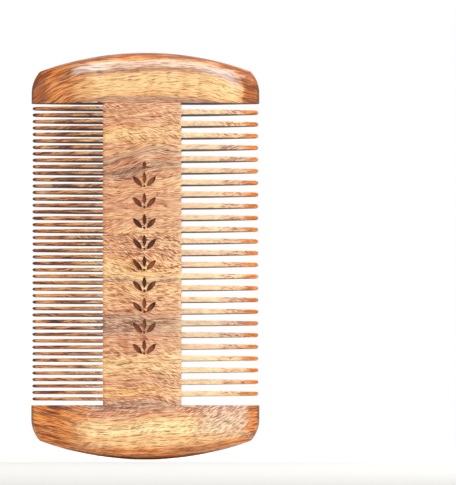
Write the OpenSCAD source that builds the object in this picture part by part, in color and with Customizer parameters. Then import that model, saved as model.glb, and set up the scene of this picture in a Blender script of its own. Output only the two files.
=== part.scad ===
// Double-sided pocket beard comb in wood, standing on its lower end.
// X runs across the comb, from the fine teeth (-X) to the wide teeth (+X).
// Y runs through its thickness, with the ornamented face at -Y.
// Z runs along the spine, and the origin is under the middle of the lower end.
//
// The blank is glued up from short boards whose grain runs along the teeth: two guards at
// the ends and staves between them. Each glue joint crosses the spine with a hidden tongue
// and groove, and lies in a gap of both rows, so that no tooth is cut through by a joint.

/* [Comb] */
// Height along the spine, from end to end
comb_h = 100; // [92:1:112]
// Width across the guards
comb_w = 56; // [54:0.5:60]
// Thickness of the flat middle
comb_t = 10; // [8:0.5:12]
// Half the width of the flat middle, where the faces begin to taper
flat_half_w = 16; // [14:0.5:18]
// Thickness of the guards just inside their side edges
edge_t = 3.2; // [2.5:0.1:4]

/* [Guards] */
// Height of the upper guard
upper_guard_h = 12.6; // [11:0.1:14]
// Height of the lower guard
lower_guard_h = 13.3; // [11:0.1:14]
// Radius of the arched ends, seen from the front
end_r = 75; // [70:1:90]
// Radius of the guards' outer corners, seen from the front
corner_r = 8; // [6:0.5:10]
// Width of the rounded rim along the arched ends
rim_w = 3.8; // [2.5:0.1:4.5]

/* [Spine] */
// Distance from the middle of the comb to the roots of the fine teeth
fine_root_x = 10.3; // [9:0.1:12]
// Distance from the middle of the comb to the roots of the wide teeth
wide_root_x = 8.8; // [8:0.1:12]

/* [Teeth] */
// Width of a fine tooth at its root
fine_root_w = 0.84; // [0.7:0.01:0.9]
// Width of a fine tooth where its point begins
fine_tip_w = 0.76; // [0.6:0.01:0.8]
// Length of a fine tooth's point
fine_point = 0.7; // [0.5:0.1:1.5]
// Width of a wide tooth at its root
wide_root_w = 1.35; // [1.2:0.05:1.5]
// Width of a wide tooth where its round nose begins
wide_tip_w = 1; // [0.9:0.05:1.2]
// Length of a wide tooth's round nose
wide_nose = 0.7; // [0.5:0.1:1]
// How far the tips stand inside the guards' side edges
tip_setback = 0.25; // [0.1:0.05:0.5]
// Size of the small bevel where a tooth joins the spine
root_bevel = 0.14; // [0.05:0.01:0.2]

/* [Glue joints] */
// Thickness of the hidden tongue
tongue_t = 3.2; // [2.5:0.1:4]
// Height of the hidden tongue
tongue_h = 2; // [1.5:0.1:2.5]
// Distance from the tooth roots to the tongue's ends
tongue_inset = 1.8; // [1.2:0.1:2.5]
// Thickness of the glue film round the tongue
glue_gap = 0.05; // [0.02:0.01:0.1]
// Room for spare glue above the tongue
glue_well = 0.2; // [0.1:0.05:0.4]

/* [Ornament] */
// Number of sprouts in the burnt-in band on the spine
sprouts = 9; // [3:1:9]
// Where the band stands across the spine
band_x = -0.2; // [-1.5:0.1:0.5]
// Share of the sprouts' spacing that each sprout fills
sprout_share = 0.74; // [0.6:0.01:0.75]
// Angle between a side leaf and the band
leaf_angle = 42; // [35:1:50]
// Depth of the burnt-in recesses
burn_depth = 0.4; // [0.2:0.05:0.6]

/* [Hidden] */
$fn = 96;

// Teeth on each stave, from the top of the comb down
fine_per_stave = [6, 7, 7, 6, 7, 7, 6];
wide_per_stave = [3, 4, 4, 3, 4, 4, 3];
stave_colours = ["#cf9f78", "#c1946f", "#d3a57c", "#d9ab7c", "#dfb182", "#c49a76", "#d8a97b"];
guard_colours = ["#e8c592", "#e3b67c"];

row_top = comb_h - upper_guard_h;
row_h = row_top - lower_guard_h;
// A row's pitch leaves a little more room below the last tooth than above the first
first_share = 0.76;
spare_share = 0.75;
fine_pitch = row_h / (sum(fine_per_stave) + spare_share);
wide_pitch = row_h / (sum(wide_per_stave) + spare_share);
tip_x = comb_w / 2 - tip_setback;
spine_x = (wide_root_x - fine_root_x) / 2;
tongue_w = fine_root_x + wide_root_x - 2 * tongue_inset;
side_bevel = 0.8;
// Distance from the top of an arched end down to the middles of its round corners
corner_drop = 10;
rim_steps = 8;
overshoot = 1;

// Four sprouts stand to every two staves, so that no recess crosses a glue joint
sprout_pitch = (joint_z(3) - joint_z(5)) / 4;
sprout_h = sprout_share * sprout_pitch;
// The first two sprouts stand below the joint under stave_5
sprout_z = joint_z(5) - 1.78 * sprout_pitch;

function sum(list, n = 100) = len(list) == 0 ? 0
    : list * [for (i = [0:len(list) - 1]) i < n ? 1 : 0];
function reversed(list) = [for (i = [len(list) - 1:-1:0]) list[i]];
function joined(lists) = [for (part = lists) for (item = part) item];

// Height of the middle of tooth n of a row, counted from 0 at the top
function tooth_z(pitch, n) = row_top - (first_share + n) * pitch;
// Height of the middle of the gap above tooth n
function gap_z(pitch, n) = tooth_z(pitch, n) + pitch / 2;
// Height of the joint under the first i staves: in a gap of both rows, nearer the fine one's middle
function joint_z(i) = i == 0 ? row_top
    : i == len(fine_per_stave) ? lower_guard_h
    : (5 * gap_z(fine_pitch, sum(fine_per_stave, i)) + gap_z(wide_pitch, sum(wide_per_stave, i))) / 6;

// Outline of one tooth in X and Z, from above its root, round its tip, to below its root.
// side is -1 for the fine row and 1 for the wide one, and nose lists half-widths along the tip.
function tooth_outline(side, root_x, tip_x, z, root_w, nose_l, nose) = let (
    upper = concat(
        [[root_x, root_w / 2 + root_bevel], [root_x + root_bevel, root_w / 2]],
        [for (k = [0:len(nose) - 1])
            [tip_x - nose_l * pow(1 - k / (len(nose) - 1), 2), nose[k]]])
) concat(
    [for (p = upper) [side * p.x, z + p.y]],
    [for (p = reversed(upper)) [side * p.x, z - p.y]]);

function fine_tooth(n) = tooth_outline(-1, fine_root_x, tip_x, tooth_z(fine_pitch, n),
    fine_root_w, fine_point, [fine_tip_w / 2, fine_tip_w * 0.3, fine_tip_w * 0.1]);
function wide_tooth(n) = tooth_outline(1, wide_root_x, tip_x, tooth_z(wide_pitch, n),
    wide_root_w, wide_nose, [wide_tip_w / 2, wide_tip_w * 0.44, wide_tip_w * 0.18]);

// Front outline of stave i, counted from 0: its piece of the spine with its teeth on both sides
function stave_outline(i) = let (
    fine_first = sum(fine_per_stave, i),
    wide_first = sum(wide_per_stave, i),
    fine_row = joined([for (n = [0:fine_per_stave[i] - 1]) fine_tooth(fine_first + n)]),
    wide_row = joined([for (n = [0:wide_per_stave[i] - 1]) wide_tooth(wide_first + n)])
) concat(
    [[-fine_root_x, joint_z(i)]], fine_row, [[-fine_root_x, joint_z(i + 1)]],
    [[wide_root_x, joint_z(i + 1)]], reversed(wide_row), [[wide_root_x, joint_z(i)]]);

// Lens-shaped cross-section of the comb: flat in the middle, tapered to both sides
module section() {
    half = [[flat_half_w, comb_t / 2], [comb_w / 2 - side_bevel, edge_t / 2],
        [comb_w / 2, edge_t / 4]];
    quarter = reversed(half);
    polygon(concat(
        [for (p = half) [p.x, p.y]],
        [for (p = quarter) [p.x, -p.y]],
        [for (p = half) [-p.x, -p.y]],
        [for (p = quarter) [-p.x, p.y]]));
}

// The whole blank between two heights, before the outline is cut
module slab(bottom, top) {
    translate([0, 0, bottom]) linear_extrude(top - bottom) section();
}

// Turns a shape drawn in X and Y into a plate that stands in X and Z
module stand(thickness) {
    rotate([90, 0, 0]) linear_extrude(thickness, center = true) children();
}

// Disc whose edge is rounded to rim_w, for an arched end
module rim_disc() {
    edge = [for (k = [0:rim_steps]) let (a = 90 * (1 - k / rim_steps))
        [end_r - rim_w * (1 - cos(a)), comb_t / 2 * sin(a)]];
    rotate([90, 0, 0]) rotate_extrude() polygon(concat(
        [[0, comb_t / 2]], edge, [for (p = reversed(edge)) [p.x, -p.y]], [[0, -comb_t / 2]]));
}

// Front outline of a guard that ends upwards, between its inner edge and its corner height
module guard_outline(inner, corner) {
    half_w = comb_w / 2;
    translate([-half_w, inner]) square([comb_w, corner - inner]);
    translate([corner_r - half_w, inner]) square([comb_w - 2 * corner_r, comb_h - inner]);
    for (side = [-1, 1]) translate([side * (half_w - corner_r), corner]) circle(corner_r);
}

// Guard that ends upwards, before its glue joint. Its rim lies at comb_h.
module guard_body(height) {
    inner = comb_h - height;
    corner = comb_h - corner_drop;
    intersection() {
        slab(inner, comb_h);
        translate([0, 0, comb_h - end_r]) rim_disc();
        stand(comb_t + overshoot) intersection() {
            guard_outline(inner, corner);
            translate([-comb_w, inner]) square([2 * comb_w, height]);
        }
    }
}

// Round-ended tongue standing on the joint at height z, or the groove for it with its glue room
module tongue(z, gap = 0, well = 0) {
    r = tongue_t / 2;
    bottom = gap > 0 ? z - overshoot : z - tongue_h / 2;
    translate([spine_x, 0, bottom]) linear_extrude(z + tongue_h + well - bottom) {
        square([tongue_w - tongue_t, tongue_t + 2 * gap], center = true);
        for (side = [-1, 1]) translate([side * (tongue_w / 2 - r), 0]) circle(r + gap);
    }
}

module groove(z) {
    tongue(z, glue_gap, glue_well);
}

// Pointed leaf standing on its base: the overlap of two equal circles
module leaf(length, breadth) {
    r = (length * length + breadth * breadth) / (4 * breadth);
    intersection() {
        translate([r - breadth / 2, length / 2]) circle(r);
        translate([breadth / 2 - r, length / 2]) circle(r);
    }
}

// Sprout of height h: a bud over a seed, between two side leaves
module sprout(h) {
    translate([0, 0.26 * h]) leaf(0.74 * h, 0.26 * h);
    translate([0, 0.09 * h]) circle(0.075 * h);
    for (side = [-1, 1])
        translate([side * 0.15 * h, 0.07 * h])
            rotate(-side * leaf_angle) leaf(0.88 * h, 0.32 * h);
}

// Burnt-in recesses on the front face: a band of sprouts with a bud on top
module ornament() {
    translate([band_x, -comb_t / 2, sprout_z]) stand(2 * burn_depth) {
        for (n = [0:sprouts - 1]) translate([0, n * sprout_pitch]) sprout(sprout_h);
        translate([0, (sprouts - 0.12) * sprout_pitch]) leaf(sprout_h / 2, sprout_h / 4);
    }
}

module upper_guard() {
    color(guard_colours[0]) difference() {
        guard_body(upper_guard_h);
        groove(row_top);
    }
}

module lower_guard() {
    color(guard_colours[1]) {
        translate([0, 0, comb_h]) mirror([0, 0, 1]) guard_body(lower_guard_h);
        tongue(lower_guard_h);
    }
}

// Stave i, counted from 0: tongue on its upper joint, groove in its lower one
module stave(i) {
    color(stave_colours[i]) difference() {
        union() {
            intersection() {
                slab(joint_z(i + 1), joint_z(i));
                stand(comb_t + overshoot) polygon(stave_outline(i));
            }
            tongue(joint_z(i));
        }
        groove(joint_z(i + 1));
        ornament();
    }
}

upper_guard();
for (i = [0:len(fine_per_stave) - 1])
    stave(i);
lower_guard();
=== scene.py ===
"""Looks of the double-sided beard comb: detailed boards, figured wood, studio and camera.

The shapes are worked out in millimetres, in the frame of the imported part: X across the comb,
Y through it with the ornamented face at -Y, Z along the spine.
"""

import math

import bmesh
import bpy
import numpy as np
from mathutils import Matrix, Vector
from mathutils.geometry import delaunay_2d_cdt


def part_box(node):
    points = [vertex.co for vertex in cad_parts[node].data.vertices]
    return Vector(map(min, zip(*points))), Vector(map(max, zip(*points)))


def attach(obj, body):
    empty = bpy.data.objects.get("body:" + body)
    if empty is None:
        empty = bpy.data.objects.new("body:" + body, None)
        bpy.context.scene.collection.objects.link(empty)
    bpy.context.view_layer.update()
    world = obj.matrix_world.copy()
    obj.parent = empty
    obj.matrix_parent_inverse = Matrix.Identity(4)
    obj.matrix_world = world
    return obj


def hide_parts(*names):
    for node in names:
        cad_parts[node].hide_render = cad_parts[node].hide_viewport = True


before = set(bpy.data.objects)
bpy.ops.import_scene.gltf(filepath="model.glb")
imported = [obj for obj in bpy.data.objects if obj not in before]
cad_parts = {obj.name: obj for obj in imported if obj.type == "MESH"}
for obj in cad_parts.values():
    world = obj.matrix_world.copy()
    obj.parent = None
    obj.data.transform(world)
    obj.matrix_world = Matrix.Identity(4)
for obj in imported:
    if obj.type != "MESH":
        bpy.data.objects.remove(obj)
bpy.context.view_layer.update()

MM = 0.001


def span_mm(node):
    """A CAD node's lowest and highest corners, in millimetres."""
    low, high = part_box(node)
    return np.array(low) / MM, np.array(high) / MM


# ---------------------------------------------------------------- camera
SENSOR_MM = 36.0
CAMERA_DISTANCE = 1.5
# Height of the picture at the comb's distance
SEEN_HEIGHT = 0.1192
AIM = Vector((0.0203, 0.0, 0.0533))
LOOK_UP = math.radians(1.84)
CLIP_NEAR, CLIP_FAR = 0.05, 20.0


def make_camera():
    """Long lens just above the floor, looking slightly up, aimed right of the comb's middle."""
    data = bpy.data.cameras.new("camera")
    data.sensor_width = SENSOR_MM
    data.lens = SENSOR_MM * CAMERA_DISTANCE / SEEN_HEIGHT
    data.clip_start, data.clip_end = CLIP_NEAR, CLIP_FAR
    camera = bpy.data.objects.new("camera", data)
    back = Vector((0.0, -math.cos(LOOK_UP), -math.sin(LOOK_UP)))
    camera.location = AIM + back * CAMERA_DISTANCE
    camera.rotation_euler = (math.pi / 2 + LOOK_UP, 0.0, 0.0)
    bpy.context.scene.collection.objects.link(camera)
    bpy.context.scene.camera = camera


make_camera()

# ---------------------------------------------------------------- sizes, from the frame
STAVES = [f"stave_{i}" for i in range(1, 8)]
HALF_W, HALF_T, COMB_H = span_mm("upper_guard")[1]
ROW_TOP = span_mm("upper_guard")[0][2]
# The glue joints, from the top
JOINT_Z = [ROW_TOP] + [span_mm(name)[0][2] for name in STAVES]
ROW_BOTTOM = JOINT_Z[-1]
ROW_H = ROW_TOP - ROW_BOTTOM

# The flat middle, the half-length of the knee beside it, and the taper to the thin sides
FLAT_HALF_W = 16.0
KNEE = 1.6
SIDE_BEVEL = 0.8
SIDE_HALF_T = 1.6
TAPER = (HALF_T - SIDE_HALF_T) / (HALF_W - SIDE_BEVEL - FLAT_HALF_W)

# Each row: side, distance of the roots from the comb's middle, tooth widths at root and tip, nose
# length in front view and in thickness, bluntness of the nose, edge rounding, and teeth on each
# stave from the top
TIP_X = span_mm("stave_4")[1][0]
ROWS = {
    "fine": dict(side=-1, root=10.3, root_w=0.84, tip_w=0.76, nose=0.7, nose_t=1.1, blunt=0.85,
                 edge=0.1, count=[6, 7, 7, 6, 7, 7, 6]),
    "wide": dict(side=1, root=8.8, root_w=1.35, tip_w=1.0, nose=0.75, nose_t=1.3, blunt=0.8,
                 edge=0.17, count=[3, 4, 4, 3, 4, 4, 3]),
}
# Pitches from the upper guard to the first tooth, and how many more pitches than teeth a row has
FIRST_SHARE = 0.76
SPARE_SHARE = 0.75
ROOT_FILLET = 0.24

# The hidden tongues and the room that the glue has round and above them
TONGUE_T = 3.2
TONGUE_H = 2.0
TONGUE_INSET = 1.8
GLUE_GAP = 0.05
GLUE_WELL = 0.2
SPINE_X = (ROWS["wide"]["root"] - ROWS["fine"]["root"]) / 2
TONGUE_W = ROWS["wide"]["root"] + ROWS["fine"]["root"] - 2 * TONGUE_INSET

# The band of burnt-in sprouts, and the foot of its lowest one
BAND_X = -0.2
BURN_DEPTH = 0.4
SPROUTS = 9
SPROUT_PITCH = (JOINT_Z[3] - JOINT_Z[5]) / 4
SPROUT_H = 0.74 * SPROUT_PITCH
SPROUT_Z = JOINT_Z[5] - 1.78 * SPROUT_PITCH

# The guards' arched ends, their corners, and the width over which the end is rounded
END_R = 75.0
CORNER_R = 8.0
CORNER_DROP = 10.0
RIM_W = 3.8


def half_thickness(x):
    """Half the comb's thickness at x: flat in the middle, a soft knee, then a straight taper."""
    s = np.abs(np.asarray(x, float)) - FLAT_HALF_W
    knee = np.clip(s + KNEE, 0, 2 * KNEE)
    return HALF_T - TAPER * (knee ** 2 / (4 * KNEE) + np.maximum(s - KNEE, 0))


# ---------------------------------------------------------------- mesh helpers
def surrounds(loop, point):
    """Whether a loop of points in a plane goes round the point."""
    a, b = loop, np.roll(loop, -1, axis=0)
    crossed = (a[:, 1] > point[1]) != (b[:, 1] > point[1])
    a, b = a[crossed], b[crossed]
    at = a[:, 0] + (point[1] - a[:, 1]) * (b[:, 0] - a[:, 0]) / (b[:, 1] - a[:, 1])
    return np.count_nonzero(at > point[0]) % 2 == 1


class Shell:
    """Points and faces of one closed piece, in millimetres."""

    def __init__(self):
        self.points = []
        self.faces = []

    def add(self, points):
        """Adds points and returns their numbers, in the same arrangement."""
        points = np.asarray(points, float)
        first = len(self.points)
        self.points.extend(points.reshape(-1, 3))
        return np.arange(first, len(self.points)).reshape(points.shape[:-1])

    def strip(self, a, b, closed=False):
        """Quads between two rows of points, in their order."""
        for k in range(len(a) - (0 if closed else 1)):
            n = (k + 1) % len(a)
            self.faces.append((a[k], a[n], b[n], b[k]))

    def skin(self, rows, closed=False):
        """Strips between each row of points and the next."""
        for a, b in zip(rows, rows[1:]):
            self.strip(a, b, closed)

    def fill(self, loops, plane, extra=(), lift=None):
        """Triangles over the area inside the first loop and outside the others.

        plane names the two axes that the area is seen along. extra holds more points inside it,
        in those two axes, and lift gives the whole point that each one stands for.
        """
        numbers = [n for loop in loops for n in loop]
        flat = [Vector((self.points[n][plane[0]], self.points[n][plane[1]])) for n in numbers]
        flat += [Vector(p) for p in extra]
        edges, first = [], 0
        for loop in loops:
            edges += [(first + k, first + (k + 1) % len(loop)) for k in range(len(loop))]
            first += len(loop)
        if len(extra):
            numbers = numbers + list(self.add([lift(p) for p in extra]))
        corners, _, faces, origin, _, _ = delaunay_2d_cdt(flat, edges, [], 1, 1e-7)
        holes = [np.array([self.points[n] for n in loop])[:, plane] for loop in loops[1:]]
        for face in faces:
            middle = sum((corners[v] for v in face), Vector((0, 0))) / len(face)
            if not any(surrounds(hole, middle) for hole in holes):
                self.faces.append(tuple(numbers[origin[v][0]] for v in face))

    def build(self, name, sharp=38):
        """Makes the mesh object, in metres, with outward normals and softly lit edges."""
        mesh = bpy.data.meshes.new(name)
        places = [tuple(point * MM) for point in self.points]
        mesh.from_pydata(places, [], [tuple(map(int, face)) for face in self.faces])
        work = bmesh.new()
        work.from_mesh(mesh)
        bmesh.ops.remove_doubles(work, verts=work.verts, dist=1e-8)
        bmesh.ops.recalc_face_normals(work, faces=work.faces)
        open_edges = sum(not e.is_manifold for e in work.edges)
        if open_edges:
            print(f"{name}: {open_edges} open edges")
        work.to_mesh(mesh)
        work.free()
        mesh.shade_smooth()
        mesh.set_sharp_from_angle(angle=math.radians(sharp))
        piece = bpy.data.objects.new(name, mesh)
        bpy.context.scene.collection.objects.link(piece)
        shading = piece.modifiers.new("flat_faces", "WEIGHTED_NORMAL")
        shading.keep_sharp = True
        shading.weight = 80
        return piece


def ring(centre_x, centre_z, r, count=20):
    """Points of a circle in X and Z."""
    a = np.linspace(0, 2 * math.pi, count, endpoint=False)
    return np.column_stack([centre_x + r * np.cos(a), centre_z + r * np.sin(a)])


def tongue_loop(grow=0.0, per_end=9):
    """Round-ended outline of the tongue in X and Y."""
    r = TONGUE_T / 2 + grow
    reach = TONGUE_W / 2 - TONGUE_T / 2
    a = np.linspace(-math.pi / 2, math.pi / 2, per_end)
    right = np.column_stack([SPINE_X + reach + r * np.cos(a), r * np.sin(a)])
    left = np.column_stack([SPINE_X - reach - r * np.cos(a), -r * np.sin(a)])
    return np.vstack([right, left])


def at_height(loop, z):
    return np.column_stack([loop[:, 0], loop[:, 1], np.full(len(loop), z)])


def joint_face(shell, rim, z, standing):
    """Closes a board at a glue joint: a flat face with the tongue or the groove in it.

    standing is 1 where the tongue stands up from this face, -1 where the groove is cut up into
    the board above this face.
    """
    grow, height = (0.0, TONGUE_H) if standing > 0 else (GLUE_GAP, TONGUE_H + GLUE_WELL)
    loop = tongue_loop(grow)
    foot = shell.add(at_height(loop, z))
    top = shell.add(at_height(loop, z + height))
    shell.fill([rim, foot], (0, 1))
    shell.strip(foot, top, closed=True)
    shell.fill([top], (0, 1))


# ---------------------------------------------------------------- ornament
# A sprout's leaves: length, breadth and the height of the foot, as shares of the sprout's height
MIDDLE_LEAF = np.array([0.74, 0.26, 0.26])
SIDE_LEAF = np.array([0.88, 0.32, 0.07])
TOP_LEAF = np.array([0.5, 0.25, 0.0])
# How far beside the middle the side leaves stand, as such a share, and how far they lean out
SIDE_LEAF_X = 0.15
SIDE_LEAF_TURN = math.radians(42)
# The round seed below them: its middle's height and its radius, as shares of the sprout's height
SEED_RISE, SEED_R = 0.09, 0.075
# How far the lone leaf on top of the band is below where a tenth sprout would stand, in pitches
TOP_LEAF_DROP = 0.12

# Levels of a recess from its mouth down: how far it is widened, and how deep it is
RECESS_LEVELS = [(0.03, 0.0), (0.0, 0.05), (-0.05, 0.85 * BURN_DEPTH), (-0.1, BURN_DEPTH)]


def leaf_loop(size, x, z, turn, grow=0.0, per_side=9):
    """Outline in X and Z of a pointed leaf of a sprout at (x, z), turned clockwise by turn."""
    length, breadth, rise = size * SPROUT_H
    z += rise
    r = (length ** 2 + breadth ** 2) / (4 * breadth)
    half = math.asin(length / 2 / r)
    a = np.linspace(-half, half, per_side)[:-1]
    bulge = r * np.cos(a) - r + breadth / 2 + grow
    side = np.column_stack([bulge, r * np.sin(a) * (1 + 2 * grow / length)])
    both = np.vstack([side, -side])
    c, s = math.cos(turn), math.sin(turn)
    up = both[:, 1] + length / 2
    return np.column_stack([x + both[:, 0] * c + up * s, z - both[:, 0] * s + up * c])


def recess_outlines(low, high, grow=0.0):
    """Outlines of the burnt-in recesses between two heights, grown by grow."""
    loops = []
    for n in range(SPROUTS):
        z = SPROUT_Z + n * SPROUT_PITCH
        if not low < z < high:
            continue
        loops.append(leaf_loop(MIDDLE_LEAF, BAND_X, z, 0.0, grow))
        loops.append(ring(BAND_X, z + SEED_RISE * SPROUT_H, SEED_R * SPROUT_H + grow))
        for side in (-1, 1):
            foot_x = BAND_X + side * SIDE_LEAF_X * SPROUT_H
            loops.append(leaf_loop(SIDE_LEAF, foot_x, z, side * SIDE_LEAF_TURN, grow))
    z = SPROUT_Z + (SPROUTS - TOP_LEAF_DROP) * SPROUT_PITCH
    if low < z < high:
        loops.append(leaf_loop(TOP_LEAF, BAND_X, z, 0.0, grow))
    return loops


def burn_recesses(shell, low, high):
    """Sinks the ornament into the front face and returns the loops that the face leaves open."""
    mouths = []
    for family in zip(*[recess_outlines(low, high, grow) for grow, _ in RECESS_LEVELS]):
        rows = []
        for loop, (_, depth) in zip(family, RECESS_LEVELS):
            y = np.full(len(loop), depth - HALF_T)
            rows.append(shell.add(np.column_stack([loop[:, 0], y, loop[:, 1]])))
        shell.skin(rows, closed=True)
        shell.fill([rows[-1]], (0, 2))
        mouths.append(rows[0])
    return mouths


# ---------------------------------------------------------------- staves
# Steps round a tooth's long edges, its root fillets and its nose, and points along its shaft
EDGE_TURNS = np.radians([0, 30, 60, 90])
FILLET_TURNS = np.radians([0, 30, 60, 90])
NOSE_TURNS = np.radians([0, 25, 45, 62, 76, 90])
SHAFT_POINTS = 11
# How much of the thickness is gone at the very tip, before the square root
NOSE_THINNING = 0.9


def tooth_half(row, inset):
    """Distance from the comb's middle, half-width and thickness share along half a tooth's outline."""
    r = ROOT_FILLET + inset
    fillet_u = row["root"] + ROOT_FILLET - r * np.cos(FILLET_TURNS)
    fillet_w = row["root_w"] / 2 + ROOT_FILLET - r * np.sin(FILLET_TURNS)
    nose_start = TIP_X - row["nose"]
    share = np.linspace(0, 1, SHAFT_POINTS)[1:-1]
    shaft_u = row["root"] + ROOT_FILLET + share * (nose_start - row["root"] - ROOT_FILLET)
    shaft_w = row["root_w"] / 2 + share * (row["tip_w"] - row["root_w"]) / 2 - inset
    nose_u = nose_start + (row["nose"] - inset) * np.sin(NOSE_TURNS)
    nose_w = (row["tip_w"] / 2 - inset) * np.cos(NOSE_TURNS) ** row["blunt"]
    nose_w[-1] = 0.0
    u = np.concatenate([fillet_u, shaft_u, nose_u])
    w = np.concatenate([fillet_w, shaft_w, nose_w])
    q = np.clip((u - TIP_X + row["nose_t"]) / row["nose_t"], 0, 1)
    return u, w, np.sqrt(1 - NOSE_THINNING * q ** 2)


def tooth_z(row, n):
    """Height of the middle of tooth n of a row, counted from 0 at the top."""
    return ROW_TOP - (FIRST_SHARE + n) * ROW_H / (sum(row["count"]) + SPARE_SHARE)


def stave_outline(i, inset_of):
    """One level of stave i's outline, anticlockwise from its upper left corner.

    Returns X, Z and half-thickness of each point, and how each row's teeth are numbered in it.
    """
    xs, zs, ts, teeth = [], [], [], []
    for key in ("fine", "wide"):
        row = ROWS[key]
        inset = inset_of(row)
        u, w, share = tooth_half(row, inset)
        first = sum(row["count"][:i])
        numbers = range(first, first + row["count"][i])
        ends = [JOINT_Z[i], JOINT_Z[i + 1]]
        if row["side"] > 0:
            numbers, ends = reversed(numbers), ends[::-1]
        turn = -row["side"]
        side_x, side_z, side_t = [row["root"] - inset], [ends[0]], [1.0]
        for n in numbers:
            z = tooth_z(row, n)
            first_point = len(xs) + len(side_x)
            teeth.append((first_point, len(u)))
            side_x += list(u) + list(u[-2::-1])
            side_z += list(z + turn * w) + list(z - turn * w[-2::-1])
            side_t += list(share) + list(share[-2::-1])
        side_x.append(row["root"] - inset)
        side_z.append(ends[1])
        side_t.append(1.0)
        xs += [row["side"] * x for x in side_x]
        zs += side_z
        ts += side_t
    xs = np.array(xs)
    return xs, np.array(zs), half_thickness(xs) * np.array(ts), teeth


def make_stave(i):
    """Board i, counted from 0 at the top: its piece of the spine with teeth on both sides."""
    shell = Shell()
    levels = []
    for face in (-1, 1):
        turns = EDGE_TURNS if face < 0 else EDGE_TURNS[::-1]
        for turn in turns:
            x, z, t, teeth = stave_outline(i, lambda row: row["edge"] * (1 - math.sin(turn)))
            edge = np.where(x < 0, ROWS["fine"]["edge"], ROWS["wide"]["edge"])
            y = face * (t - np.minimum(edge, 0.5 * t) * (1 - math.cos(turn)))
            levels.append(shell.add(np.column_stack([x, y, z])))
    left = sum(1 for p in levels[0] if shell.points[p][0] < 0)
    for a, b in zip(levels, levels[1:]):
        shell.strip(a[:left], b[:left])
        shell.strip(a[left:], b[left:])
    upper = [a[0] for a in levels] + [a[-1] for a in reversed(levels)]
    lower = [a[left - 1] for a in levels] + [a[left] for a in reversed(levels)]
    joint_face(shell, upper, JOINT_Z[i], 1)
    joint_face(shell, lower, JOINT_Z[i + 1], -1)
    fillet = len(FILLET_TURNS)
    mouths = burn_recesses(shell, JOINT_Z[i + 1], JOINT_Z[i])
    for level, holes in ((levels[0], mouths), (levels[-1], [])):
        spine, at = [], 0
        for first, half in teeth:
            last = first + 2 * half - 2
            near = level[first + fillet - 1:first + half]
            far = level[last - fillet + 1:first + half - 2:-1]
            for k in range(len(near) - 1):
                quad = (near[k], near[k + 1], far[k + 1], far[k])
                shell.faces.append(tuple(dict.fromkeys(quad)))
            spine += list(level[at:first + fillet])
            at = last - fillet + 1
        spine += list(level[at:])
        shell.fill([spine] + holes, (0, 2))
    return shell.build(f"board_{i + 1}")


# ---------------------------------------------------------------- guards
# Roundings: of the sawn edge, between corner and arched end, and of the straight sides
SAW_EDGE = 0.15
CORNER_FILLET = 1.1
SIDE_RIM = 0.55
# How the rounded rim grows from the sides to its full width: shares at the end of the corner and of
# the fillet, and the share that it would reach at the middle of the end if it weren't full before
RIM_AT_CORNER, RIM_AT_FILLET, RIM_AT_MIDDLE = 0.35, 0.6, 3
# Steps round the rim and the sawn edge, and points along the outline and the sawn edge
RIM_TURNS = np.radians(np.linspace(90, -90, 13))
SAW_TURNS = np.radians([30, 60, 90])
SIDE_POINTS, CORNER_POINTS, FILLET_POINTS, ARCH_POINTS = 5, 10, 6, 36
SAW_POINTS = 57
# Spacing of the points inside a face, and how far they stay from the outline
FACE_STEP = 1.1
FACE_MARGIN = 0.6


def arc(centre_x, centre_z, r, start, end, count):
    """Points of an arc in X and Z, with both its ends."""
    turns = np.linspace(start, end, count)
    return np.column_stack([centre_x + r * np.cos(turns), centre_z + r * np.sin(turns)])


def guard_outline(height):
    """Outline of a guard that ends upwards, from its lower right corner round to its lower left.

    Returns X, Z and the width of the rounded rim at each point.
    """
    inner = COMB_H - height
    corner_z = COMB_H - CORNER_DROP
    corner_x = HALF_W - CORNER_R
    end_z = COMB_H - END_R
    # The corner's round, the small fillet and the arched end meet at tangent points
    inside = END_R - CORNER_FILLET
    reach = CORNER_R - CORNER_FILLET
    base = Vector((corner_x, corner_z - end_z))
    along = (inside ** 2 - reach ** 2 + base.length_squared) / (2 * base.length)
    off = math.sqrt(inside ** 2 - along ** 2)
    unit = base.normalized()
    fillet = unit * along + Vector((unit.y, -unit.x)) * off
    turn_corner = math.atan2(fillet.y - base.y, fillet.x - base.x)
    turn_end = math.atan2(fillet.y, fillet.x)
    side_z = np.linspace(inner + SAW_EDGE, corner_z, SIDE_POINTS)[:-1]
    side = np.column_stack([np.full(len(side_z), HALF_W), side_z])
    corner = arc(corner_x, corner_z, CORNER_R, 0, turn_corner, CORNER_POINTS)[:-1]
    small = arc(fillet.x, end_z + fillet.y, CORNER_FILLET, turn_corner, turn_end, FILLET_POINTS)[:-1]
    arch = arc(0, end_z, END_R, turn_end, math.pi / 2, ARCH_POINTS)
    right = np.vstack([side, corner, small, arch])
    growth = np.concatenate([np.zeros(len(side)), np.linspace(0, RIM_AT_CORNER, len(corner)),
                             np.linspace(RIM_AT_CORNER, RIM_AT_FILLET, len(small)),
                             np.linspace(RIM_AT_FILLET, RIM_AT_MIDDLE, len(arch))])
    rim = SIDE_RIM + (RIM_W - SIDE_RIM) * np.minimum(growth, 1)
    left = right[-2::-1] * (-1, 1)
    return np.vstack([right, left]), np.concatenate([rim, rim[-2::-1]])


def inward(outline):
    """Unit normals of an anticlockwise outline, pointing into it."""
    along = np.gradient(outline, axis=0)
    along /= np.linalg.norm(along, axis=1)[:, None]
    return np.column_stack([-along[:, 1], along[:, 0]])


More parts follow.
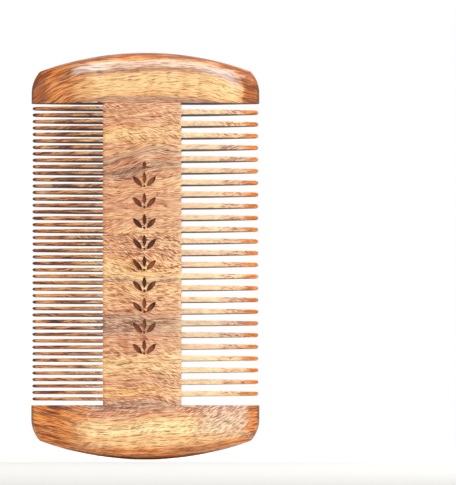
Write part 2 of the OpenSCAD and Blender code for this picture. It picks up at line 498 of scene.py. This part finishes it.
def make_guard(name, height, upwards):
    """End board: arched and rounded outside, sawn straight towards the teeth."""
    shell = Shell()
    outline, rim = guard_outline(height)
    normals = inward(outline)
    normals[0] = (-1, 0)
    normals[-1] = (1, 0)
    inner = COMB_H - height

    def upright(z):
        """Turns the heights of a guard that ends downwards over, and back."""
        return z if upwards else COMB_H - z

    def place(x, y, z):
        return np.column_stack([x, y, upright(z)])

    levels = []
    for turn in RIM_TURNS:
        p = outline + normals * (rim * (1 - math.cos(turn)))[:, None]
        levels.append(shell.add(place(p[:, 0], -half_thickness(p[:, 0]) * math.sin(turn), p[:, 1])))
    shell.skin(levels)

    reach = HALF_W - SIDE_RIM
    columns = np.linspace(-reach, reach, SAW_POINTS)[1:-1]
    saw_z = np.full(len(columns), inner + SAW_EDGE)
    front_foot = shell.add(place(columns, -half_thickness(columns), saw_z))
    back_foot = shell.add(place(columns, half_thickness(columns), saw_z))
    for level, foot, face in ((levels[0], front_foot, -1), (levels[-1], back_foot, 1)):
        edge = np.array([shell.points[n] for n in level])
        tops = upright(edge[:, 2])
        more = []
        for x in columns:
            roof = np.interp(x, edge[::-1, 0], tops[::-1])
            steps = np.arange(inner + SAW_EDGE + FACE_STEP, roof - FACE_MARGIN, FACE_STEP)
            more += [(x, upright(z)) for z in steps]
        shell.fill([list(foot) + list(level)], (0, 2), more,
                   lambda p: (p[0], face * float(half_thickness(p[0])), p[1]))
    # Section loop at the sawn edge: front face, right side, back face, left side
    section = (list(front_foot) + [level[0] for level in levels]
               + list(back_foot[::-1]) + [level[-1] for level in reversed(levels)])
    flat = np.array([shell.points[n][:2] for n in section])
    closed = np.vstack([flat[-1], flat, flat[0]])
    into = inward(closed)[1:-1]
    rings = [section]
    for turn in SAW_TURNS:
        p = flat + into * SAW_EDGE * (1 - math.cos(turn))
        z = np.full(len(flat), inner + SAW_EDGE * (1 - math.sin(turn)))
        rings.append(shell.add(place(p[:, 0], p[:, 1], z)))
    shell.skin(rings, closed=True)
    joint_face(shell, rings[-1], upright(inner), -1 if upwards else 1)
    return shell.build(name)


boards = {name: make_stave(i) for i, name in enumerate(STAVES)}
boards["upper_guard"] = make_guard("upper_end_board", COMB_H - ROW_TOP, True)
boards["lower_guard"] = make_guard("lower_end_board", ROW_BOTTOM, False)


# ---------------------------------------------------------------- wood
def linear(r, g, b):
    """A colour given as it looks on screen, 0 to 255, as a linear one."""
    shares = [value / 255 for value in (r, g, b)]
    return tuple(s / 12.92 if s < 0.04045 else ((s + 0.055) / 1.055) ** 2.4 for s in shares) + (1.0,)


# Colours that are mixed into the wood
TONES = {
    "cream": linear(255, 232, 168),
    "straw": linear(246, 208, 146),
    "honey": linear(240, 184, 118),
    "blond": linear(252, 214, 172),
    # Pale streak tone that also paints sheen: the upper guard's band and the lower guard's patch
    "pale_streak_and_sheen": linear(232, 200, 176),
    # Painted highlight on the roots of the wide teeth
    "root_highlight": linear(255, 227, 184),
    # Painted highlight, on the left of the upper guard's pale band
    "gleam": linear(255, 248, 240),
    "light_fibre": linear(255, 226, 182),
    "light_dash": linear(255, 222, 176),
    "tan": linear(228, 172, 122),
    "rose": linear(212, 148, 110),
    "mauve": linear(176, 134, 114),
    "dusk": linear(150, 110, 92),
    # Painted sheen, on the right of the upper guard's pale band
    "grey_sheen": linear(198, 180, 170),
    "amber": linear(228, 127, 22),
    "rust": linear(132, 54, 6),
    "umber": linear(68, 28, 6),
    "singed": linear(166, 92, 52),
    "charred": linear(96, 54, 34),
    "soot": linear(34, 20, 14),
}

# Colours that the wood's own is multiplied by
SHADES = {
    "fibre": linear(196, 150, 128),
    "dash": linear(196, 154, 136),
    "shimmer": linear(214, 196, 184),
    "pore": linear(146, 100, 78),
    # Painted shade over the fine teeth
    "between_teeth_shade": linear(205, 190, 180),
    "stripe": linear(158, 122, 96),
    # Painted shade on the sides turned away from the faces
    "sawn_and_shaded_side": linear(122, 74, 46),
}

# How light the whole comb is
LEVEL = 0.72

# The noises: size of a feature in mm along X, Y and height, detail, and step from the board's seed
NOISES = {
    "wide_wave": ((16, 14, 9), 1.0, 0),
    "small_wave": ((7, 5, 2.6), 1.0, 3),
    "streaks": ((16, 4, 0.9), 3.0, 5),
    "fibres": ((4.5, 1.2, 0.2), 2.0, 7),
    "dashes": ((1.4, 2.0, 0.26), 1.0, 11),
    "patches": ((9, 9, 6), 1.0, 13),
    "shimmer": ((3.2, 6, 8), 1.0, 17),
    "pores": ((1.9, 0.4, 0.19), 0.0, 19),
    "frayed": ((5, 5, 1.3), 2.0, 23),
    "scorch": ((3, 3, 9), 1.0, 29),
    "stripes": ((5.5, 5, 0.75), 2.0, 31),
}
FIRST_SEED = 10.0
SEED_STEP = 4.3

# Each board's figure. streaks: (share of its height from its lower edge, tone). dip and climb: how
# far the grain climbs per mm towards the back and towards the wide teeth. wander: how far it
# strays, in mm. mottle and lean: strength and angle in degrees of the interlocked dashes. glue:
# strength of the line at its lower joint. arch: how the grain bends down to the sides, per mm to
# the fourth. Only for the guards, side_w: width of the sides outside the dark rim, in mm, and
# rim_shade_and_oil: how far inside them the rim starts and is darkest, and its least and greatest
# strength. The dark rim is oil and partly painted shade on the rounding that turns from the light.
FIGURES = {
    "upper_guard": dict(
        # The pale streaks between 0.565 and 0.655 are partly painted sheen along the arched end
        streaks=[(0.0, "rose"), (0.06, "mauve"), (0.13, "honey"), (0.2, "straw"), (0.42, "straw"),
                 (0.465, "rose"), (0.505, "mauve"), (0.565, "pale_streak_and_sheen"), (0.655, "pale_streak_and_sheen"),
                 (0.7, "honey"), (0.76, "amber"), (0.9, "rust")],
        dip=0.6, climb=0.0, wander=0.7, mottle=0.2, lean=10, glue=0.12, arch=8e-6,
        side_w=2.9, rim_shade_and_oil=(1.8, 0.8, 0, 0.9), right_oil=(19.5, 24.0, 0, 0.94)),
    "stave_1": dict(
        streaks=[(0.0, "honey"), (0.15, "straw"), (0.3, "honey"), (0.42, "rose"), (0.6, "tan"),
                 (0.75, "rose"), (1.0, "rose")],
        dip=0.2, climb=0.1, wander=1.2, mottle=0.9, lean=-28, glue=0.15),
    "stave_2": dict(
        streaks=[(0.0, "tan"), (0.18, "rose"), (0.34, "dusk"), (0.46, "rose"), (0.6, "mauve"),
                 (0.72, "tan"), (0.86, "rose"), (1.0, "honey")],
        dip=0.35, climb=0.17, wander=2.0, mottle=0.5, lean=14, glue=0.1),
    "stave_3": dict(
        streaks=[(0.0, "tan"), (0.2, "rose"), (0.36, "tan"), (0.5, "rose"), (0.68, "rose"),
                 (0.84, "tan"), (1.0, "rose")],
        dip=-0.2, climb=0.03, wander=1.2, mottle=0.55, lean=14, glue=0.6),
    "stave_4": dict(
        streaks=[(0.0, "straw"), (0.2, "honey"), (0.42, "rose"), (0.6, "tan"), (0.8, "rose"),
                 (1.0, "tan")],
        dip=0.25, climb=-0.05, wander=1.6, mottle=1.0, lean=-30, glue=0.15),
    "stave_5": dict(
        streaks=[(0.0, "mauve"), (0.1, "rose"), (0.25, "tan"), (0.45, "tan"), (0.6, "honey"),
                 (0.68, "mauve"), (0.76, "straw"), (1.0, "honey")],
        dip=-0.25, climb=-0.03, wander=1.3, mottle=0.7, lean=-18, glue=0.2),
    "stave_6": dict(
        streaks=[(0.0, "honey"), (0.12, "straw"), (0.22, "rose"), (0.45, "rose"), (0.58, "mauve"),
                 (0.68, "dusk"), (0.8, "mauve"), (1.0, "mauve")],
        dip=0.2, climb=0.0, wander=1.0, mottle=0.6, lean=-24, glue=0.2),
    "stave_7": dict(
        streaks=[(0.0, "mauve"), (0.1, "rose"), (0.2, "honey"), (0.32, "honey"), (0.42, "rose"),
                 (0.55, "tan"), (0.75, "straw"), (1.0, "honey")],
        dip=-0.2, climb=-0.02, wander=0.9, mottle=0.8, lean=-26, glue=0.12),
    "lower_guard": dict(
        streaks=[(0.03, "rust"), (0.15, "amber"), (0.28, "honey"), (0.32, "amber"),
                 (0.39, "honey"), (0.48, "straw"), (0.515, "honey"), (0.59, "cream"),
                 (0.71, "cream"), (0.77, "straw"), (0.82, "tan"), (0.9, "rose"), (0.975, "mauve")],
        dip=-0.5, climb=0.015, wander=0.7, mottle=0.8, lean=24, glue=0.0, arch=-2e-6,
        side_w=0.5, rim_shade_and_oil=(2.8, 1.2, 0, 0.5), right_oil=(21.0, 23.6, 0, 0.9),
        rust=0.5, level=1.03),
}
# What a board has unless its figure says otherwise. right_oil: how far out the oily end on the right
# starts and is darkest, in mm, and its least and greatest strength. rust: its share in the oily
# ends. level: how light the board is beside the others
PLAIN_FIGURE = dict(arch=0.0, right_oil=(20.3, 23.4, 0, 0.94), rust=0.8, level=1.0)

# How far the guards' streaks run on past the arched ends, in mm
PAST_THE_END = 3.5


class Graph:
    """Builds a material from nodes. Each method returns the socket that its node puts out."""

    def __init__(self, name):
        self.material = bpy.data.materials.new(name)
        self.material.use_nodes = True
        self.tree = self.material.node_tree
        self.shader = self.tree.nodes["Principled BSDF"]

    def feed(self, socket, value):
        """Links a socket into another, or sets the other to a number or colour."""
        if isinstance(value, bpy.types.NodeSocket):
            self.tree.links.new(value, socket)
        else:
            socket.default_value = value

    def put(self, kind, *values):
        """Adds a node, feeds its inputs in their order and returns the node itself."""
        node = self.tree.nodes.new(kind)
        for socket, value in zip(node.inputs, values):
            self.feed(socket, value)
        return node

    def math(self, operation, *values, clamp=False):
        node = self.put("ShaderNodeMath", *values)
        node.operation = operation
        node.use_clamp = clamp
        return node.outputs[0]

    def times(self, first, *others):
        """Product of all the values."""
        for other in others:
            first = self.math("MULTIPLY", first, other)
        return first

    def plus(self, first, *others):
        """Sum of all the values."""
        for other in others:
            first = self.math("ADD", first, other)
        return first

    def minus(self, a, b):
        return self.math("SUBTRACT", a, b)

    def size(self, value):
        """A value without its sign."""
        return self.math("ABSOLUTE", value)

    def remap(self, value, low, high, out_low=0.0, out_high=1.0, smooth=True):
        """Carries low..high over to out_low..out_high and stops at both ends."""
        node = self.put("ShaderNodeMapRange", value, low, high, out_low, out_high)
        node.interpolation_type = "SMOOTHSTEP" if smooth else "LINEAR"
        return node.outputs[0]

    def mix(self, share, a, b, blend="MIX"):
        node = self.put("ShaderNodeMix", share)
        node.data_type = "RGBA"
        node.blend_type = blend
        for socket, colour in zip([s for s in node.inputs if s.type == "RGBA"], (a, b)):
            self.feed(socket, colour)
        return [s for s in node.outputs if s.type == "RGBA"][0]

    def split(self, vector):
        """The X, Y and Z of a vector."""
        return self.put("ShaderNodeSeparateXYZ", vector).outputs

    def place(self):
        """The X, Y and Z of the surface in its object, in metres."""
        return self.split(self.put("ShaderNodeTexCoord").outputs["Object"])

    def noise(self, place, steps, detail, seed=0.0):
        """Noise, about 0.25 to 0.75, whose features are as long as steps says, in place's units."""
        spread = 1.7
        scaled = [self.math("MULTIPLY_ADD", value, 1 / step, seed * (k + spread))
                  for k, (value, step) in enumerate(zip(place, steps))]
        node = self.tree.nodes.new("ShaderNodeTexNoise")
        node.inputs["Scale"].default_value = 1.0
        node.inputs["Detail"].default_value = detail
        self.feed(node.inputs["Vector"], self.put("ShaderNodeCombineXYZ", *scaled).outputs[0])
        return node.outputs["Fac"]

    def ramp(self, value, stops):
        """Colours that follow one another at the given values."""
        node = self.put("ShaderNodeValToRGB", value)
        node.color_ramp.interpolation = "EASE"
        elements = node.color_ramp.elements
        for k, (at, colour) in enumerate(stops):
            element = elements[k] if k < 2 else elements.new(at)
            element.position = at
            element.color = colour
        return node.outputs[0]


class Wood(Graph):
    """Oiled verawood for one board. Each step adds to the board's colour so far.

    Places are in millimetres. In a remap, two of them are where a zone starts and where it is at
    its full strength, and the last number is that strength.
    """

    def __init__(self, board, seed):
        super().__init__("wood_of_" + board)
        self.board = board
        self.seed = seed
        self.figure = PLAIN_FIGURE | FIGURES[board]
        self.is_guard = "guard" in board
        self.x, self.y, self.z = (self.math("MULTIPLY", part, 1 / MM) for part in self.place())
        self.depth = self.plus(self.y, HALF_T)
        self.grain_z = self.grain_height()
        self.streaks = self.texture("streaks", self.grain_z)
        self.fibres = self.texture("fibres", self.grain_z)
        self.dashes = self.leaning_dashes()
        self.pores = self.remap(self.texture("pores", self.grain_z), 0.63, 0.72)
        self.frayed = self.texture("frayed", self.z)
        # Mask of the sides turned away from the faces: rougher, and darkened by painted shade
        self.sawn_and_shaded_side = self.turned_sideways()
        self.burnt = 0.0
        self.colour = self.figured()

    def texture(self, name, height, along=None):
        """One of the noises, over the given height and along X or another length."""
        steps, detail, seed_step = NOISES[name]
        place = (self.x if along is None else along, self.y, height)
        return self.noise(place, steps, detail, self.seed + seed_step)

    def blend(self, share, tone):
        """Mixes a share of a colour into the board's."""
        self.colour = self.mix(share, self.colour, tone)

    def darken(self, share, shade):
        """Multiplies the board's colour by a shade, as far as the share says."""
        self.colour = self.mix(share, self.colour, SHADES[shade], "MULTIPLY")

    def grain_height(self):
        """Height across the grain, which climbs, arches with the ends and wanders."""
        bend = self.times(self.math("POWER", self.size(self.x), 4.0), self.figure["arch"])
        arch = self.times(bend, self.remap(self.x, -6.0, 6.0, 1.0, 0.45))
        wander, ripple = 4 * self.figure["wander"], 0.8 * self.figure["wander"]
        wide_wave = self.math("MULTIPLY_ADD", self.texture("wide_wave", self.z), wander, -wander / 2)
        small_wave = self.math("MULTIPLY_ADD", self.texture("small_wave", self.z), ripple, -ripple / 2)
        climbing = self.minus(self.z, self.times(self.x, self.figure["climb"]))
        dip = self.times(self.depth, self.figure["dip"])
        return self.plus(climbing, arch, wide_wave, small_wave, dip)

    def leaning_dashes(self):
        """Noise of short dashes that lean away from the grain."""
        lean = math.radians(self.figure["lean"])
        c, s = math.cos(lean), math.sin(lean)
        across = self.minus(self.times(self.grain_z, c), self.times(self.x, s))
        along = self.plus(self.times(self.x, c), self.times(self.grain_z, s))
        return self.texture("dashes", across, along)

    def turned_sideways(self):
        """Where the surface turns away from the comb's faces, as on the cut sides of the teeth."""
        normal = self.put("ShaderNodeNewGeometry").outputs["True Normal"]
        return self.remap(self.size(self.split(normal)["Y"]), 0.45, 0.05, 0, 0.95)

    def figured(self):
        """The board's streaks over its height."""
        low, high = (corner[2] for corner in span_mm(self.board))
        if self.board == "upper_guard":
            high += PAST_THE_END
        elif self.board == "lower_guard":
            low, high = low - PAST_THE_END, ROW_BOTTOM
        share = self.remap(self.grain_z, low, high, smooth=False)
        return self.ramp(share, [(at, TONES[tone]) for at, tone in self.figure["streaks"]])

    def add_fibres(self):
        """Streaks and fibres along the grain. Staves are paler towards the wide teeth."""
        if not self.is_guard:
            self.blend(self.remap(self.x, -5.0, 10.0, 0, 0.36), TONES["blond"])
        self.blend(self.remap(self.streaks, 0.5, 0.7, 0, 0.42), TONES["rose"])
        self.blend(self.remap(self.streaks, 0.46, 0.3, 0, 0.4), TONES["straw"])
        self.darken(self.remap(self.fibres, 0.5, 0.66, 0, 0.85), "fibre")
        self.blend(self.remap(self.fibres, 0.48, 0.32, 0, 0.5), TONES["light_fibre"])

    def add_mottle(self):
        """Interlocked dashes in patches, broad soft bands across the grain, and pores."""
        mottle = self.figure["mottle"]
        patches = self.remap(self.texture("patches", self.z), 0.38, 0.6, 0.35, 1.0)
        self.darken(self.times(self.remap(self.dashes, 0.5, 0.62, 0, 0.95 * mottle), patches), "dash")
        light = self.times(self.remap(self.dashes, 0.48, 0.36, 0, 0.75 * mottle), patches)
        self.blend(light, TONES["light_dash"])
        self.darken(self.remap(self.texture("shimmer", self.z), 0.4, 0.65, 0, 0.22), "shimmer")
        self.darken(self.times(self.pores, 0.75), "pore")

    def inside_guard(self):
        """How far in from a guard's arched end and dark sides, with a frayed border."""
        middle_z = COMB_H - END_R if self.board == "upper_guard" else END_R
        above = self.minus(self.z, middle_z)
        squares = self.plus(self.times(self.x, self.x), self.times(above, above))
        from_end = self.minus(END_R, self.math("SQRT", squares))
        from_side = self.minus(HALF_W - self.figure["side_w"], self.size(self.x))
        rounding, fraying = 5.0, 2.0
        inside = self.math("SMOOTH_MIN", from_end, from_side, rounding)
        return self.plus(inside, self.times(self.minus(self.frayed, 0.5), fraying))

    def oiled(self):
        """Colour of the wood where oil has darkened it."""
        oiled = self.mix(self.remap(self.streaks, 0.45, 0.58, 0, self.figure["rust"]),
                         TONES["amber"], TONES["rust"])
        oiled = self.mix(self.remap(self.fibres, 0.51, 0.6, 0, 0.85), oiled, TONES["umber"])
        oiled = self.mix(self.remap(self.fibres, 0.49, 0.38, 0, 0.6), oiled, TONES["honey"])
        oiled = self.mix(self.remap(self.streaks, 0.56, 0.63, 0, 0.85), oiled, TONES["umber"])
        return self.mix(0.2, oiled, self.mix(1.0, self.colour, TONES["amber"], "MULTIPLY"))

    def oil_and_shade_at_ends(self):
        """Shares of oil in the board's left and right ends, with frayed borders. The left one reaches
        far in and is partly painted shade.
        """
        from_left = self.minus(self.times(self.x, -1.0), self.times(self.frayed, 8.0))
        from_right = self.minus(self.x, self.times(self.frayed, 5.0))
        # Oil, and partly painted shade on the left slope, which faces away from the key light
        left = self.remap(from_left, 6.5, 17.0, 0, 0.94)
        return left, self.remap(from_right, *self.figure["right_oil"])

    def finish_guard(self):
        """Painted highlight: a pale sheen band along the upper end, or a dull painted sheen patch on
        the lower one, then dark ends and rim, which are oily and partly painted shade.
        """
        inside = self.inside_guard()
        is_upper = self.board == "upper_guard"
        if is_upper:
            # Painted highlight: a pale sheen band just inside the rounded upper end, greyish on the
            # right
            band = self.times(self.remap(inside, 1.7, 2.4), self.remap(inside, 4.3, 3.0),
                              self.remap(self.z, 89.0, 93.0))
            self.blend(self.times(band, self.remap(self.x, 11.0, 17.0, 0, 0.55)), TONES["grey_sheen"])
        else:
            # Painted sheen: a speckled pale and grey patch on the lower guard's right end, where light
            # glances off the taper
            speckled = self.mix(self.remap(self.dashes, 0.42, 0.58), TONES["pale_streak_and_sheen"], TONES["dusk"])
            patch = self.times(self.remap(self.x, 9.0, 18.0, 0, 0.72), self.remap(self.z, 4.0, 8.0))
            self.blend(patch, speckled)
        left, right = self.oil_and_shade_at_ends()
        # The rim: oil, and partly painted shade on the rounding that turns from the light
        rim = self.remap(inside, *self.figure["rim_shade_and_oil"])
        oiled = self.oiled()
        # Painted shade: the upper guard's rim, lit from above, darkened with rust towards its edge
        if is_upper:
            oiled = self.mix(self.remap(inside, 1.2, 0.2, 0, 0.5), oiled, TONES["rust"])
        self.blend(self.math("MAXIMUM", self.math("MAXIMUM", left, rim), right), oiled)
        if is_upper:
            # Painted highlight: a white gleam on the left part of the sheen band, laid over the oil
            gleam = self.times(self.remap(self.x, -19.0, -15.0, 0, 0.55),
                               self.remap(self.x, -5.0, -12.0, 0.1, 1.0),
                               self.remap(self.fibres, 0.6, 0.44, 0.25, 1.0))
            self.blend(self.times(band, gleam), TONES["gleam"])

    def finish_stave(self):
        """Painted highlight on the roots of the wide teeth, painted shade over the fine teeth, their
        stripes, and dark tips.
        """
        # Painted highlight: the roots of the wide teeth made paler, as where light falls on their tops
        from_wide_roots = self.size(self.minus(self.x, 13.7))
        self.blend(self.remap(from_wide_roots, 6.0, 3.6, 0, 0.45), TONES["root_highlight"])
        # Painted shade over the fine teeth from their roots, lighter towards the tips, where the teeth
        # shade one another
        root_shade = self.times(self.remap(self.x, -9.5, -11.0, 0, 0.62),
                                self.remap(self.x, -24.0, -18.0, 0.3, 1.0))
        self.darken(root_shade, "between_teeth_shade")
        left, right = self.oil_and_shade_at_ends()
        oiled = self.mix(self.remap(self.x, 18.0, 21.0, 0, 0.45), self.oiled(), TONES["amber"])
        self.blend(self.math("MAXIMUM", left, right), oiled)
        stripes = self.texture("stripes", self.z)
        fine_teeth = self.remap(self.x, -9.5, -13.0)
        self.darken(self.times(self.remap(stripes, 0.5, 0.62, 0, 0.75), fine_teeth), "stripe")
        self.blend(self.times(self.remap(stripes, 0.46, 0.34, 0, 0.4), fine_teeth), TONES["honey"])

    def darken_edges(self):
        """Darkens with painted shade the cut sides of the teeth, the tips of the fine ones and the
        guards' sides.
        """
        # Painted shade on surfaces turned sideways, such as the teeth's undersides
        self.darken(self.sawn_and_shaded_side, "sawn_and_shaded_side")
        # Painted shade on the very ends of the fine teeth and on the guards' outer sides
        if self.is_guard:
            tips = self.remap(self.size(self.x), 27.2, 27.8, 0, 0.6)
        else:
            tips = self.remap(self.minus(self.times(self.x, -1.0), self.frayed), 26.2, 26.9, 0, 0.88)
        self.blend(tips, TONES["umber"])

    def add_glue_line(self):
        """Dark line at the board's lower joint."""
        joint_z = span_mm(self.board)[0][2]
        line = self.remap(self.size(self.minus(self.z, joint_z)), 0.16, 0.05, 0, self.figure["glue"])
        self.blend(line, TONES["umber"])

    def burn_ornament(self):
        """Scorches the recesses in the front, but not the teeth beside them."""
        beside = self.size(self.minus(self.x, BAND_X))
        self.burnt = self.times(self.remap(self.depth, 0.015, 0.07), self.remap(self.depth, 1.0, 0.9),
                                self.remap(beside, 3.6, 3.4))
        uneven = self.remap(self.texture("scorch", self.z), 0.4, 0.62)
        scorch = self.mix(uneven, TONES["charred"], TONES["singed"])
        scorch = self.mix(self.remap(self.depth, 0.25, 0.42, 0.1, 0.25), scorch, TONES["soot"])
        self.blend(self.burnt, scorch)

    def finish_surface(self):
        """Satin finish, duller in pores, burnt parts and on cut sides, with a slight relief."""
        level = LEVEL * self.figure["level"]
        colour = self.mix(1.0, self.colour, (level, level, level, 1), "MULTIPLY")
        self.feed(self.shader.inputs["Base Color"], colour)
        rough = self.plus(self.remap(self.fibres, 0.3, 0.7, 0.36, 0.5), self.times(self.pores, 0.2),
                          self.times(self.sawn_and_shaded_side, 0.45))
        rough = self.math("ADD", rough, self.times(self.burnt, 0.3), clamp=True)
        self.feed(self.shader.inputs["Roughness"], rough)
        self.shader.inputs["Specular IOR Level"].default_value = 0.2
        self.shader.inputs["Coat Weight"].default_value = 0.15
        self.shader.inputs["Coat Roughness"].default_value = 0.25
        relief = self.minus(self.times(self.fibres, 0.35), self.times(self.pores, 0.7))
        relief = self.plus(relief, self.times(self.dashes, 0.3))
        bump = self.tree.nodes.new("ShaderNodeBump")
        bump.inputs["Strength"].default_value = 0.35
        bump.inputs["Distance"].default_value = 0.06 * MM
        self.feed(bump.inputs["Height"], relief)
        self.feed(self.shader.inputs["Normal"], bump.outputs[0])


def make_wood(board, seed):
    """The whole material of one board."""
    wood = Wood(board, seed)
    wood.add_fibres()
    wood.add_mottle()
    if wood.is_guard:
        wood.finish_guard()
    else:
        wood.finish_stave()
    wood.darken_edges()
    wood.add_glue_line()
    if not wood.is_guard:
        wood.burn_ornament()
    wood.finish_surface()
    return wood.material


for number, (node, piece) in enumerate(boards.items()):
    piece.data.materials.append(make_wood(node, FIRST_SEED + SEED_STEP * number))
    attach(piece, "root")
    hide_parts(node)


# ---------------------------------------------------------------- studio
FLOOR_REACH = 0.9
WHITE_PAPER = (0.9, 0.895, 0.885, 1)
SHADED_PAPER = (0.885, 0.88, 0.87, 1)
SHADED_FRONT_PAPER = (0.46, 0.45, 0.437, 1)
# The floor is white behind the first of these Y and grey in front of the second, a painted shade on
# the floor in front of the comb
SHADE_FROM_Y = (0.02, -0.2)

# Each lamp's place and aim, its width and height, and its power in watts
LAMPS = {
    "key": ((0.65, -0.55, 0.7), (0, 0, 0.05), (0.4, 0.4), 10.5),
    "overhead": ((0.15, -0.6, 0.85), (0, 0, 0.09), (1.0, 0.22), 3.5),
    "fill": ((-0.8, -0.9, 0.35), (0, 0, 0.05), (0.6, 0.6), 2.4),
    "back": ((0.3, 1.2, 0.7), (0, 0, 0.05), (1.2, 0.8), 9),
}
CEILING_STRENGTH = 1.4
CEILING_SPREAD = math.radians(50)

# The room's light by how steeply one looks up or down: full to the first slope, dim past the second
ROOM_FADE = {"From Min": 0.2, "From Max": 0.42, "To Min": 1.0, "To Max": 0.22}


def make_floor():
    """A plain pale floor: white paper behind the comb that turns light grey in front of it, as painted
    shade.
    """
    r = FLOOR_REACH
    mesh = bpy.data.meshes.new("floor")
    mesh.from_pydata([(-r, -r, 0), (r, -r, 0), (r, r, 0), (-r, r, 0)], [], [(0, 1, 2, 3)])
    floor = bpy.data.objects.new("floor", mesh)
    bpy.context.scene.collection.objects.link(floor)
    g = Graph("floor_paper")
    place = g.place()
    speckle = g.remap(g.noise(place, (0.02, 0.02, 0.02), 2.0), 0.3, 0.7)
    paper = g.mix(speckle, WHITE_PAPER, SHADED_PAPER)
    # Painted shade: the floor greyed in front of the comb
    paper = g.mix(g.remap(place["Y"], *SHADE_FROM_Y), paper, SHADED_FRONT_PAPER)
    g.feed(g.shader.inputs["Base Color"], paper)
    g.shader.inputs["Roughness"].default_value = 0.8
    floor.data.materials.append(g.material)


def make_lamp(name, place, aim, size, power):
    """A rectangular soft light that faces its aim."""
    data = bpy.data.lights.new(name, "AREA")
    data.shape = "RECTANGLE"
    data.size, data.size_y = size
    data.energy = power
    lamp = bpy.data.objects.new(name, data)
    lamp.location = place
    lamp.rotation_euler = (Vector(aim) - Vector(place)).to_track_quat("-Z", "Y").to_euler()
    bpy.context.scene.collection.objects.link(lamp)


def make_ceiling_light():
    """Even soft light straight down, which keeps the floor white."""
    data = bpy.data.lights.new("ceiling", "SUN")
    data.energy = CEILING_STRENGTH
    data.angle = CEILING_SPREAD
    bpy.context.scene.collection.objects.link(bpy.data.objects.new("ceiling", data))


def make_room():
    """White walls all round. It is dimmer overhead and below the floor."""
    world = bpy.data.worlds.new("studio")
    world.use_nodes = True
    tree = world.node_tree
    slope = tree.nodes.new("ShaderNodeSeparateXYZ")
    tree.links.new(tree.nodes.new("ShaderNodeTexCoord").outputs["Generated"], slope.inputs[0])
    steepness = tree.nodes.new("ShaderNodeMath")
    steepness.operation = "ABSOLUTE"
    tree.links.new(slope.outputs["Z"], steepness.inputs[0])
    fade = tree.nodes.new("ShaderNodeMapRange")
    fade.interpolation_type = "SMOOTHSTEP"
    for name, value in ROOM_FADE.items():
        fade.inputs[name].default_value = value
    tree.links.new(steepness.outputs[0], fade.inputs["Value"])
    tree.links.new(fade.outputs["Result"], tree.nodes["Background"].inputs["Strength"])
    tree.nodes["Background"].inputs["Color"].default_value = (1, 1, 1, 1)
    bpy.context.scene.world = world


make_floor()
for name, settings in LAMPS.items():
    make_lamp(name, *settings)
make_ceiling_light()
make_room()
bpy.context.scene.view_settings.view_transform = "Standard"
